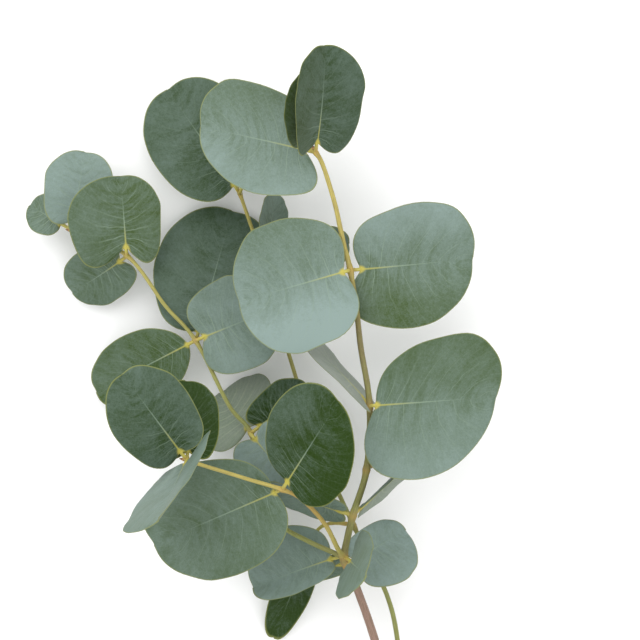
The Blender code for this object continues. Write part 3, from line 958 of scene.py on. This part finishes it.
# This leaf's bloom slope is painted light and shade, making one half lighter and the other darker.
grow_leaf("front_1_high", "dark", FRONT_NODE_1, heading=58, tilt=25, roll=0, length=35, width=35,
          petiole=4, rise=40, fold=15, skew=0.38, lobe=0.05, bloom=0.1, painted_light_lean=-0.1)
grow_leaf("front_2_left", "dark", FRONT_NODE_2, heading=126, tilt=15, roll=0, length=33, width=28,
          petiole=4, rise=25, lobe=0.12, bloom=0.25)
grow_leaf("front_2_back", "dark", FRONT_NODE_2, heading=92, tilt=-20, roll=10, length=26,
          width=22, petiole=4, rise=-45, fold=0, bloom=0.03)
grow_leaf("front_2_low", "pale", FRONT_NODE_2, heading=246, tilt=50, roll=72, length=29, width=47,
          petiole=4.5, rise=80, arch=0, bloom=0.58)


# ---- Leaves of the left shoot ---------------------------------------------------------------
# Ten leaves in pairs along the lowest shoot, from broad ones at its foot to the small young
# pair at its tip.

grow_leaf("left_1_left", "mid", LEFT_NODE_1, heading=130, tilt=-40, roll=0, length=22, width=32,
          rise=-60, fold=0, bloom=0.45, turned=True)
grow_leaf("left_1_right", "pale", LEFT_NODE_1, heading=310, tilt=8, roll=0, length=22, width=24,
          rise=55, bloom=0.98, warmth=0.9)
grow_leaf("left_1_back", "dark", LEFT_NODE_1, heading=38, tilt=-5, roll=0, length=22, width=18,
          rise=10, bloom=0.15)
grow_leaf("left_2_back", "dark", LEFT_NODE_2, heading=75, tilt=-10, roll=0, length=46, width=42,
          petiole=5, rise=-50, fold=0, lobe=0.08, bloom=0.31)
grow_leaf("left_2_left", "mid", LEFT_NODE_2, heading=207, tilt=-15, roll=0, length=40, width=26,
          petiole=3, rise=-20, fold=0, lobe=-0.02, bloom=0.17)
grow_leaf("left_2_front", "pale", LEFT_NODE_2, heading=22, tilt=0, roll=0, length=26, width=33,
          rise=35, bloom=0.68)
grow_leaf("left_3_up", "pale", LEFT_NODE_3, heading=93, tilt=12, roll=10, length=25, width=32,
          petiole=4, rise=45, uneven=-0.2, lobe=0.35, bloom=0.22)
grow_leaf("left_3_low", "mid", LEFT_NODE_3, heading=214, tilt=-15, roll=-20, length=22, width=22,
          petiole=5, rise=-50, fold=0, bloom=0.35)
grow_leaf("left_4_up", "pale", LEFT_NODE_4, heading=82, tilt=-5, roll=0, length=24.5, width=24,
          rise=10, bloom=0.84)
grow_leaf("left_4_left", "mid", LEFT_NODE_4, heading=150, tilt=-15, roll=0, length=14, width=14,
          petiole=7, rise=-40, fold=0, lobe=0.1, bloom=0.4)


# ---- Leaves of the back stem ----------------------------------------------------------------
# The back stem's leaves lie nearest the table. The lowest is an old one, long and glossy,
# which has lost all its bloom.

grow_leaf("back_1_low", "dark", BACK_NODE_1, heading=249, tilt=-12, roll=0, length=42, width=13.5,
          petiole=14, rise=0, swerve=-54, skew=-0.2, lobe=0.05, bloom=0)
grow_leaf("back_2_up", "mid", BACK_NODE_2, heading=75, tilt=0, roll=60, length=20, width=18)
grow_leaf("back_2_right", "mid", BACK_NODE_2, heading=8, tilt=-5, roll=30, length=27, width=20,
          petiole=5, lobe=0.1)
grow_leaf("back_3_left", "dark", BACK_NODE_3, heading=125, tilt=-8, roll=0, length=43, width=37,
          rise=30, lobe=0.1, bloom=0.24)
grow_leaf("back_3_right", "mid", BACK_NODE_3, heading=65, tilt=12, roll=0, length=21, width=20,
          petiole=5, rise=60, lobe=0.1)


# ---- Buds -----------------------------------------------------------------------------------
# A tiny resting bud ends each stem, and one more sits on the main stem where a pair of leaves
# has dropped. Each is a pointed egg of overlapping red-brown scales.

BUD_LENGTH = 2.4
BUD_RADIUS = 0.6
BUD_RINGS = 26
BUD_SCALES = 3
BUD_SUNK = 0.6
SCALE_STEP = 0.14
BUD_RED = (0.20, 0.055, 0.03)
BUD_TAN = (0.42, 0.22, 0.08)


def make_bud_skin():
    """Red-brown scales with paler, drier edges."""
    material, tree, shader = new_material("bud_scales")
    _, along, edge = split(tree, mark_of(tree, "bud_place"))
    ground = add_node(tree, "TexCoord").outputs["Object"]
    mottle = noise_of(tree, ground, 1500.0, 4, 0.6)
    colour = mix_colours(tree, mottle, paint(BUD_RED), paint(BARK_OLIVE))
    colour = mix_colours(tree, ramp_down(tree, edge, 0.85, 0.55), colour, paint(BUD_TAN))
    colour = mix_colours(tree, ramp_down(tree, along, 0.05, 0.3), colour, paint(BARK_GREEN))
    tree.links.new(colour, shader.inputs["Base Color"])
    rough = calculate(tree, "MULTIPLY_ADD", mottle, 0.3, 0.4)
    tree.links.new(rough, shader.inputs["Roughness"])
    tree.links.new(bump_from(tree, mottle, strength=0.4, depth=0.08), shader.inputs["Normal"])
    return material


bud_skin = make_bud_skin()


def grow_bud(name, node, reach, heading, rise):
    """A bud that leaves the stem at reach from a node and stands for the CAD node bud_NAME."""
    forward = heading_vector(heading, rise)
    rings = []
    places = []
    for index in range(BUD_RINGS + 1):
        share = index / BUD_RINGS
        swell = math.sin(math.pi * (0.28 + 0.7 * share)) ** 0.8
        scale_edge = (share * BUD_SCALES) % 1
        radius = BUD_RADIUS * swell * (1.06 - SCALE_STEP * (1 - scale_edge))
        height = reach - BUD_SUNK * (1 - share) + BUD_LENGTH * share
        rings.append(circle_ring(Vector(node) + forward * height, forward, radius, STEM_SIDES))
        places += [(side / STEM_SIDES, share, scale_edge) for side in range(STEM_SIDES)]
    points = [point for ring in rings for point in ring]
    faces = join_rings(rings)
    for row, flip in ((0, True), (len(rings) - 1, False)):
        centre = len(points)
        points.append(sum(rings[row], Vector()) / STEM_SIDES)
        places.append((0, row / BUD_RINGS, 1))
        for side in range(STEM_SIDES):
            here = row * STEM_SIDES + side
            after = row * STEM_SIDES + (side + 1) % STEM_SIDES
            faces.append((after, here, centre) if flip else (here, after, centre))
    piece = make_piece(name + "_bud", points, faces, [bud_skin], [0] * len(faces),
                       {"bud_place": places})
    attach(piece, "root")
    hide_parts("bud_" + name)
    return piece


grow_bud("main_side", MAIN_BUD_NODE, 1.9, heading=35, rise=10)
grow_bud("main_tip", MAIN_NODE_4, 0.3, heading=115, rise=15)
grow_bud("front_tip", FRONT_NODE_2, 0.3, heading=165, rise=5)
grow_bud("left_tip", LEFT_NODE_4, 0.3, heading=170, rise=20)
grow_bud("back_tip", BACK_NODE_3, 0.3, heading=110, rise=-10)


# ---- Table, light and camera ----------------------------------------------------------------
# The branch lies on a plain white table under broad soft light, and the camera looks straight
# down on it from 0.9 m.

TABLE_SIZE = 12.0
TABLE_WHITE = (0.93, 0.93, 0.93)
TABLE_MOTTLE = (0.916, 0.916, 0.916)
LIGHT_SIZE = 2.0
LIGHT_AIM = Vector((0, 0, 0.03))
WINDOW_PLACE = (-0.5, 0.9, 1.2)
WINDOW_POWER = 17
FILL_PLACE = (0.5, -0.7, 1.5)
FILL_POWER = 8
ROOM_BRIGHTNESS = 1.05
CAMERA_PLACE = (0, 178, 900)
CAMERA_LENS = 145.1
SENSOR = 36


def make_table():
    """A plain matt sheet, far larger than the branch."""
    material, tree, shader = new_material("table_white")
    ground = add_node(tree, "TexCoord").outputs["Object"]
    mottle = noise_of(tree, ground, 8.0, 3)
    colour = mix_colours(tree, mottle, paint(TABLE_WHITE), paint(TABLE_MOTTLE))
    tree.links.new(colour, shader.inputs["Base Color"])
    shader.inputs["Roughness"].default_value = 0.9
    shader.inputs["Specular IOR Level"].default_value = 0.0
    half = TABLE_SIZE / 2
    mesh = bpy.data.meshes.new("table")
    corners = [(-half, -half, 0), (half, -half, 0), (half, half, 0), (-half, half, 0)]
    mesh.from_pydata(corners, [], [(0, 1, 2, 3)])
    mesh.materials.append(material)
    table = bpy.data.objects.new("table", mesh)
    bpy.context.scene.collection.objects.link(table)


def add_soft_light(name, place, power):
    """A broad round lamp that faces the branch."""
    light = bpy.data.lights.new(name, "AREA")
    light.shape = "DISK"
    light.size = LIGHT_SIZE
    light.energy = power
    lamp = bpy.data.objects.new(name, light)
    lamp.location = place
    lamp.rotation_euler = (LIGHT_AIM - Vector(place)).to_track_quat("-Z", "Y").to_euler()
    bpy.context.scene.collection.objects.link(lamp)


make_table()
add_soft_light("window_light", WINDOW_PLACE, WINDOW_POWER)
add_soft_light("fill_light", FILL_PLACE, FILL_POWER)

world = bpy.data.worlds.new("studio")
world.use_nodes = True
room = world.node_tree.nodes["Background"]
room.inputs["Color"].default_value = (1, 1, 1, 1)
room.inputs["Strength"].default_value = ROOM_BRIGHTNESS
bpy.context.scene.world = world
bpy.context.scene.view_settings.view_transform = "Standard"

camera = bpy.data.cameras.new("camera")
camera.lens = CAMERA_LENS
camera.sensor_width = SENSOR
camera.clip_end = 100
eye = bpy.data.objects.new("camera", camera)
eye.location = (Vector(CAMERA_PLACE) + branch_place) * MM
bpy.context.scene.collection.objects.link(eye)
bpy.context.scene.camera = eye
